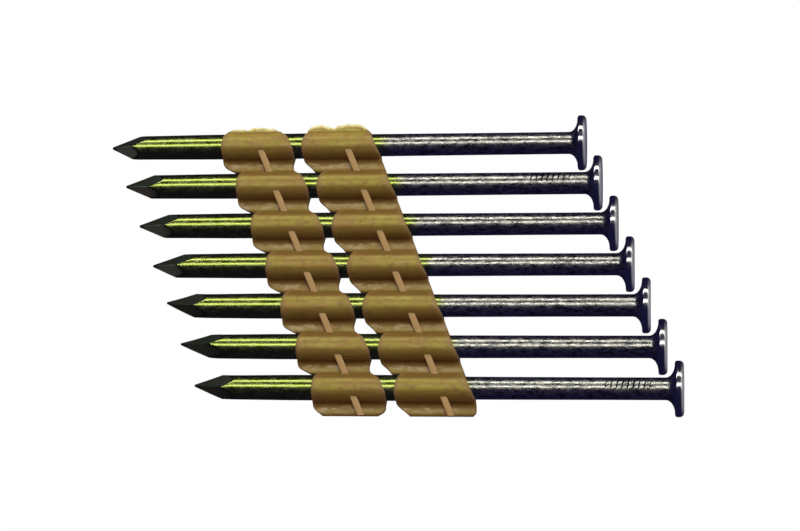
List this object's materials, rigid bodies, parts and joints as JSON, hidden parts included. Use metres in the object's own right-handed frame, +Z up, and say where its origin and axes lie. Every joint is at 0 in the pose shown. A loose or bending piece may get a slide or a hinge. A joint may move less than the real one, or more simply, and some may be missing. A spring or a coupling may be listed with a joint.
{
  "type": "collated framing nail strip",
  "caption": "Strip of round-head framing nails held side by side at a 21 degree lean in two moulded plastic collation bands.",
  "frame": {"origin": "middle of the strip's outline seen from above, at the height of the lowest head rims", "axes": "+X along the nails from point to head, +Y towards the leading nail, which the tool drives first, +Z up out of the strip lying flat"},
  "size_m": [0.072, 0.0376, 0.0068],
  "materials": {
    "nail_steel": "bright drawn wire, smooth, with a thin yellow-green clear coating on the point half",
    "band_plastic": "satin, slightly translucent olive-tan moulded plastic"
  },
  "bodies": {
    "segment_4": {"point_sleeve_4": "band_plastic", "head_sleeve_4": "band_plastic"},
    "segment_3": {"point_sleeve_3": "band_plastic", "head_sleeve_3": "band_plastic"},
    "segment_5": {"point_sleeve_5": "band_plastic", "head_sleeve_5": "band_plastic"},
    "segment_2": {"point_sleeve_2": "band_plastic", "head_sleeve_2": "band_plastic"},
    "segment_6": {"point_sleeve_6": "band_plastic", "head_sleeve_6": "band_plastic"},
    "segment_1": {"point_sleeve_1": "band_plastic", "head_sleeve_1": "band_plastic"},
    "segment_7": {"point_sleeve_7": "band_plastic", "head_sleeve_7": "band_plastic"},
    "nail_1_body": {"nail_1": "nail_steel"},
    "nail_2_body": {"nail_2": "nail_steel"},
    "nail_3_body": {"nail_3": "nail_steel"},
    "nail_4_body": {"nail_4": "nail_steel"},
    "nail_5_body": {"nail_5": "nail_steel"},
    "nail_6_body": {"nail_6": "nail_steel"},
    "nail_7_body": {"nail_7": "nail_steel"}
  },
  "joints": [
    {"name": "web_flex_3", "type": "hinge", "parent": "segment_4", "child": "segment_3", "pos_m": [0, 0.00259, 0.00342], "axis": [1, 0, 0], "range_deg": [-5, 5], "stiffness_Nm_per_rad": 0.5},
    {"name": "web_flex_2", "type": "hinge", "parent": "segment_3", "child": "segment_2", "pos_m": [0, 0.0077, 0.00342], "axis": [1, 0, 0], "range_deg": [-5, 5], "stiffness_Nm_per_rad": 0.5},
    {"name": "web_flex_1", "type": "hinge", "parent": "segment_2", "child": "segment_1", "pos_m": [0, 0.01281, 0.00342], "axis": [1, 0, 0], "range_deg": [-5, 5], "stiffness_Nm_per_rad": 0.5},
    {"name": "web_flex_5", "type": "hinge", "parent": "segment_4", "child": "segment_5", "pos_m": [0, -0.00251, 0.00342], "axis": [-1, 0, 0], "range_deg": [-5, 5], "stiffness_Nm_per_rad": 0.5},
    {"name": "web_flex_6", "type": "hinge", "parent": "segment_5", "child": "segment_6", "pos_m": [0, -0.00762, 0.00342], "axis": [-1, 0, 0], "range_deg": [-5, 5], "stiffness_Nm_per_rad": 0.5},
    {"name": "web_flex_7", "type": "hinge", "parent": "segment_6", "child": "segment_7", "pos_m": [0, -0.01273, 0.00342], "axis": [-1, 0, 0], "range_deg": [-5, 5], "stiffness_Nm_per_rad": 0.5},
    {"name": "lead_nail_drive", "type": "slide", "parent": "segment_1", "child": "nail_1_body", "axis": [-1, 0, 0], "range_m": [0, 0.0234]},
    {"name": "nail_2_turn", "type": "hinge", "parent": "segment_2", "child": "nail_2_body", "pos_m": [-0.03407, 0.01025, 0.00342], "axis": [1, 0, 0], "continuous": true},
    {"name": "nail_3_turn", "type": "hinge", "parent": "segment_3", "child": "nail_3_body", "pos_m": [-0.03211, 0.00515, 0.00342], "axis": [1, 0, 0], "continuous": true},
    {"name": "nail_4_turn", "type": "hinge", "parent": "segment_4", "child": "nail_4_body", "pos_m": [-0.03015, 0.00004, 0.00342], "axis": [1, 0, 0], "continuous": true},
    {"name": "nail_5_turn", "type": "hinge", "parent": "segment_5", "child": "nail_5_body", "pos_m": [-0.02819, -0.00507, 0.00342], "axis": [1, 0, 0], "continuous": true},
    {"name": "nail_6_turn", "type": "hinge", "parent": "segment_6", "child": "nail_6_body", "pos_m": [-0.02623, -0.01017, 0.00342], "axis": [1, 0, 0], "continuous": true},
    {"name": "trailing_nail_pull", "type": "slide", "parent": "segment_7", "child": "nail_7_body", "axis": [1, 0, 0], "range_m": [0, 0.036]}
  ]
}
